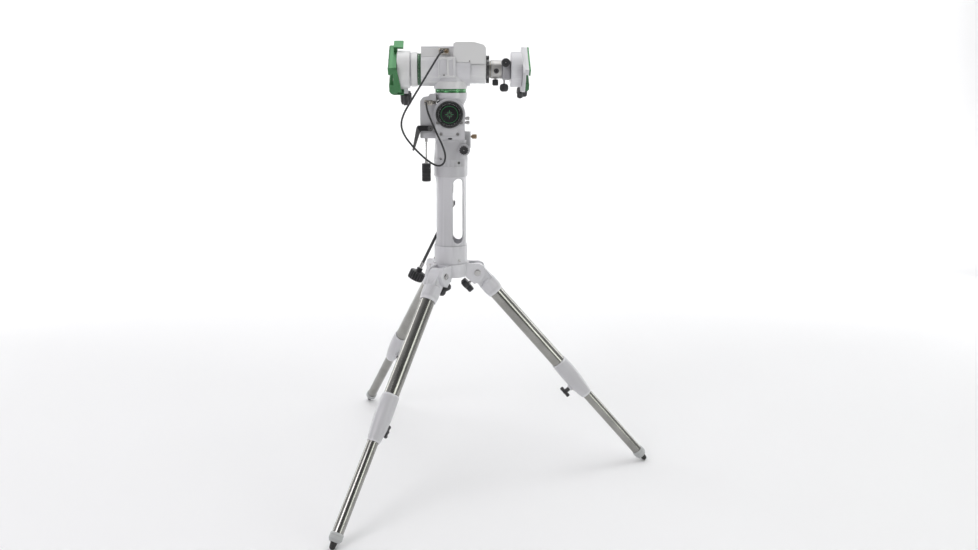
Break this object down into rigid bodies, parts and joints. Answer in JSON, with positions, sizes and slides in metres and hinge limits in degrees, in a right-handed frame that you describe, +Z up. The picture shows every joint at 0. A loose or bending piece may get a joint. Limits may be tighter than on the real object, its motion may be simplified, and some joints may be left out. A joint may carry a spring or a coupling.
{
  "type": "telescope mount",
  "caption": "Equatorial telescope mount on a pillar tripod with folding extending legs, tilting polar head, rotating declination head and a dovetail saddle on each side",
  "frame": {"origin": "On the ground, on the axis of the pillar, at the centre of the circle of the three feet", "axes": "+Z up along the pillar. +X towards the foot of the right leg and along the declination axis towards the adapter side. The front of the mount faces -Y"},
  "size_m": [0.9512, 1.0922, 1.3324],
  "materials": {
    "paint": "off-white semi-gloss paint on cast aluminium",
    "shell": "moulded off-white cover",
    "casting": "light grey paint on cast aluminium",
    "tube_steel": "polished stainless tube",
    "foot_rubber": "black rubber tip in a grey collar",
    "black_plastic": "moulded black plastic",
    "bright_steel": "bright turned steel",
    "brass": "cut brass",
    "green_anodised": "green anodised",
    "black_anodised": "black anodised",
    "grey_metal": "machined grey metal",
    "cable_rubber": "black cable jacket"
  },
  "bodies": {
    "pillar": {"tripod_hub": "paint", "pillar_tube": "paint", "pillar_head": "paint", "pivot_bolts": "bright_steel"},
    "leg_right": {"leg_castings_right": "casting", "upper_tube_right": "tube_steel"},
    "lower_leg_right": {"lower_tube_right": "tube_steel", "foot_right": "foot_rubber"},
    "lock_knob_right": {"lock_knob_right": "black_plastic"},
    "spread_knob_right": {"spread_knob_right": "black_plastic"},
    "leg_rear": {"leg_castings_rear": "casting", "upper_tube_rear": "tube_steel"},
    "lower_leg_rear": {"lower_tube_rear": "tube_steel", "foot_rear": "foot_rubber"},
    "lock_knob_rear": {"lock_knob_rear": "black_plastic"},
    "spread_knob_rear": {"spread_knob_rear": "black_plastic"},
    "leg_front": {"leg_castings_front": "casting", "upper_tube_front": "tube_steel"},
    "lower_leg_front": {"lower_tube_front": "tube_steel", "foot_front": "foot_rubber"},
    "lock_knob_front": {"lock_knob_front": "black_plastic"},
    "spread_knob_front": {"spread_knob_front": "black_plastic"},
    "azimuth_base": {"wedge_base": "paint", "fork_cheeks": "paint", "latitude_covers": "black_plastic"},
    "azimuth_knob_front": {"azimuth_knob_front": "black_plastic"},
    "azimuth_knob_rear": {"azimuth_knob_rear": "black_plastic"},
    "latitude_stop_screw": {"latitude_stop_screw": "bright_steel"},
    "ra_body": {"ra_housing": "paint", "ra_motor_cover": "shell", "ra_plug": "cable_rubber"},
    "adjuster_shaft": {"adjuster_shaft": "bright_steel"},
    "adjuster_rod": {"adjuster_rod": "black_anodised", "hand_wheel": "black_plastic"},
    "ra_clamp_lever": {"ra_clamp_lever": "black_anodised"},
    "slow_motion_handle": {"slow_motion_handle": "black_plastic"},
    "ra_axis": {"ra_shaft": "bright_steel", "ra_worm_wheel": "brass", "ra_setting_circle": "green_anodised", "dec_housing": "paint", "dec_motor_cover": "shell", "dec_plug": "cable_rubber", "motor_cable": "cable_rubber"},
    "ra_worm": {"ra_worm": "bright_steel"},
    "dec_axis": {"dec_shaft": "bright_steel", "dec_worm_wheel": "brass", "dec_setting_circle": "green_anodised", "left_saddle": "paint", "left_saddle_plate": "green_anodised", "right_saddle": "paint", "adapter_flange": "black_anodised", "adapter_body": "grey_metal"},
    "dec_worm": {"dec_worm": "bright_steel"},
    "left_saddle_jaw": {"left_saddle_jaw": "green_anodised"},
    "left_saddle_knob": {"left_saddle_knob": "black_plastic"},
    "right_saddle_jaw": {"right_saddle_jaw": "green_anodised"},
    "right_saddle_knob": {"right_saddle_knob": "black_plastic"},
    "adapter_lower_knob": {"adapter_lower_knob": "black_plastic"},
    "adapter_stem_knob": {"adapter_stem_knob": "black_plastic"},
    "adapter_front_knob": {"adapter_front_knob": "black_plastic"}
  },
  "joints": [
    {"name": "leg_fold_right", "type": "hinge", "parent": "pillar", "child": "leg_right", "pos_m": [0.0824, 0, 0.6236], "axis": [0, 1, 0], "range_deg": [0, 35]},
    {"name": "leg_extension_right", "type": "slide", "parent": "leg_right", "child": "lower_leg_right", "axis": [0.6587, 0, -0.7524], "range_m": [-0.2, 0.05]},
    {"name": "lock_knob_turn_right", "type": "hinge", "parent": "leg_right", "child": "lock_knob_right", "pos_m": [0.39988, 0, 0.26093], "axis": [-0.7524, 0, -0.6587], "range_deg": [0, 90]},
    {"name": "spread_knob_turn_right", "type": "hinge", "parent": "leg_right", "child": "spread_knob_right", "pos_m": [0.0903, 0, 0.61457], "axis": [-0.7524, 0, -0.6587], "range_deg": [0, 90]},
    {"name": "leg_fold_rear", "type": "hinge", "parent": "pillar", "child": "leg_rear", "pos_m": [-0.0412, 0.07136, 0.6236], "axis": [-0.866, -0.5, 0], "range_deg": [0, 35]},
    {"name": "leg_extension_rear", "type": "slide", "parent": "leg_rear", "child": "lower_leg_rear", "axis": [-0.3293, 0.5704, -0.7524], "range_m": [-0.2, 0.05]},
    {"name": "lock_knob_turn_rear", "type": "hinge", "parent": "leg_rear", "child": "lock_knob_rear", "pos_m": [-0.19994, 0.34631, 0.26093], "axis": [0.3762, -0.6516, -0.6587], "range_deg": [0, 90]},
    {"name": "spread_knob_turn_rear", "type": "hinge", "parent": "leg_rear", "child": "spread_knob_rear", "pos_m": [-0.04515, 0.07821, 0.61457], "axis": [0.3762, -0.6516, -0.6587], "range_deg": [0, 90]},
    {"name": "leg_fold_front", "type": "hinge", "parent": "pillar", "child": "leg_front", "pos_m": [-0.0412, -0.07136, 0.6236], "axis": [0.866, -0.5, 0], "range_deg": [0, 35]},
    {"name": "leg_extension_front", "type": "slide", "parent": "leg_front", "child": "lower_leg_front", "axis": [-0.3293, -0.5704, -0.7524], "range_m": [-0.2, 0.05]},
    {"name": "lock_knob_turn_front", "type": "hinge", "parent": "leg_front", "child": "lock_knob_front", "pos_m": [-0.19994, -0.34631, 0.26093], "axis": [0.3762, 0.6516, -0.6587], "range_deg": [0, 90]},
    {"name": "spread_knob_turn_front", "type": "hinge", "parent": "leg_front", "child": "spread_knob_front", "pos_m": [-0.04515, -0.07821, 0.61457], "axis": [0.3762, 0.6516, -0.6587], "range_deg": [0, 90]},
    {"name": "azimuth_adjustment", "type": "hinge", "parent": "pillar", "child": "azimuth_base", "pos_m": [0, 0, 0.954], "axis": [0, 0, 1], "range_deg": [-5, 5]},
    {"name": "azimuth_knob_front_turn", "type": "hinge", "parent": "azimuth_base", "child": "azimuth_knob_front", "pos_m": [0.039, -0.065, 1.006], "axis": [0, 1, 0], "range_deg": [-230, 230]},
    {"name": "azimuth_knob_rear_turn", "type": "hinge", "parent": "azimuth_base", "child": "azimuth_knob_rear", "pos_m": [0.039, 0.065, 1.006], "axis": [0, 1, 0], "range_deg": [-230, 230]},
    {"name": "latitude_stop_screw_turn", "type": "hinge", "parent": "azimuth_base", "child": "latitude_stop_screw", "pos_m": [0.07, -0.02, 1.044], "axis": [1, 0, 0], "range_deg": [-180, 180]},
    {"name": "latitude_tilt", "type": "hinge", "parent": "azimuth_base", "child": "ra_body", "pos_m": [-0.004, 0, 1.1125], "axis": [0, 1, 0], "range_deg": [0, 70]},
    {"name": "adjuster_shaft_turn", "type": "hinge", "parent": "azimuth_base", "child": "adjuster_shaft", "pos_m": [0, 0, 0.829], "axis": [0, 0, -1], "continuous": true},
    {"name": "adjuster_rod_turn", "type": "hinge", "parent": "azimuth_base", "child": "adjuster_rod", "pos_m": [0, 0, 0.829], "axis": [-0.4384, 0, -0.8988], "continuous": true},
    {"name": "ra_clamp_lever_turn", "type": "hinge", "parent": "ra_body", "child": "ra_clamp_lever", "pos_m": [-0.061, -0.044, 1.071], "axis": [0, -1, 0], "range_deg": [-20, 20]},
    {"name": "slow_motion_handle_turn", "type": "hinge", "parent": "ra_body", "child": "slow_motion_handle", "pos_m": [-0.0745, -0.025, 1], "axis": [0, 0, 1], "continuous": true},
    {"name": "ra_rotation", "type": "hinge", "parent": "ra_body", "child": "ra_axis", "pos_m": [0, 0, 1.18], "axis": [0, 0, 1], "range_deg": [-120, 120], "deforming": ["motor_cable"]},
    {"name": "ra_worm_turn", "type": "hinge", "parent": "ra_body", "child": "ra_worm", "pos_m": [-0.0427, 0, 1.158], "axis": [0, 1, 0], "continuous": true},
    {"name": "dec_rotation", "type": "hinge", "parent": "ra_axis", "child": "dec_axis", "pos_m": [0, 0, 1.246], "axis": [1, 0, 0], "continuous": true},
    {"name": "dec_worm_turn", "type": "hinge", "parent": "ra_axis", "child": "dec_worm", "pos_m": [0.079, 0, 1.2887], "axis": [0, 1, 0], "continuous": true},
    {"name": "left_knob_turn", "type": "hinge", "parent": "dec_axis", "child": "left_saddle_knob", "pos_m": [-0.139, 0, 1.246], "axis": [0, 0.6157, -0.788], "range_deg": [0, 1441]},
    {"name": "left_jaw_slide", "type": "slide", "parent": "dec_axis", "child": "left_saddle_jaw", "axis": [0, 0.6157, -0.788], "range_m": [0, 0.006]},
    {"name": "right_knob_turn", "type": "hinge", "parent": "dec_axis", "child": "right_saddle_knob", "pos_m": [0.219, 0, 1.246], "axis": [0, 0.6157, -0.788], "range_deg": [0, 1441]},
    {"name": "right_jaw_slide", "type": "slide", "parent": "dec_axis", "child": "right_saddle_jaw", "axis": [0, 0.6157, -0.788], "range_m": [0, 0.006]},
    {"name": "adapter_lower_knob_turn", "type": "hinge", "parent": "dec_axis", "child": "adapter_lower_knob", "pos_m": [0.1355, 0, 1.21], "axis": [0, 0, 1], "range_deg": [-180, 0]},
    {"name": "adapter_stem_knob_turn", "type": "hinge", "parent": "dec_axis", "child": "adapter_stem_knob", "pos_m": [0.162, 0, 1.19], "axis": [0, 0, 1], "range_deg": [-180, 0]},
    {"name": "adapter_front_knob_turn", "type": "hinge", "parent": "dec_axis", "child": "adapter_front_knob", "pos_m": [0.1645, -0.03, 1.266], "axis": [0, -1, 0], "range_deg": [-180, 0]}
  ],
  "couplings": [
    {"joint": "azimuth_knob_front_turn", "follows": "azimuth_adjustment", "ratio": 45},
    {"joint": "azimuth_knob_rear_turn", "follows": "azimuth_adjustment", "ratio": 45},
    {"joint": "adjuster_shaft_turn", "follows": "latitude_tilt", "ratio": 24},
    {"joint": "adjuster_rod_turn", "follows": "latitude_tilt", "ratio": 24},
    {"joint": "ra_worm_turn", "follows": "ra_rotation", "ratio": 72},
    {"joint": "dec_worm_turn", "follows": "dec_rotation", "ratio": 72},
    {"joint": "left_knob_turn", "follows": "left_jaw_slide", "rad_per_m": 4188.8},
    {"joint": "right_knob_turn", "follows": "right_jaw_slide", "rad_per_m": 4188.8}
  ]
}
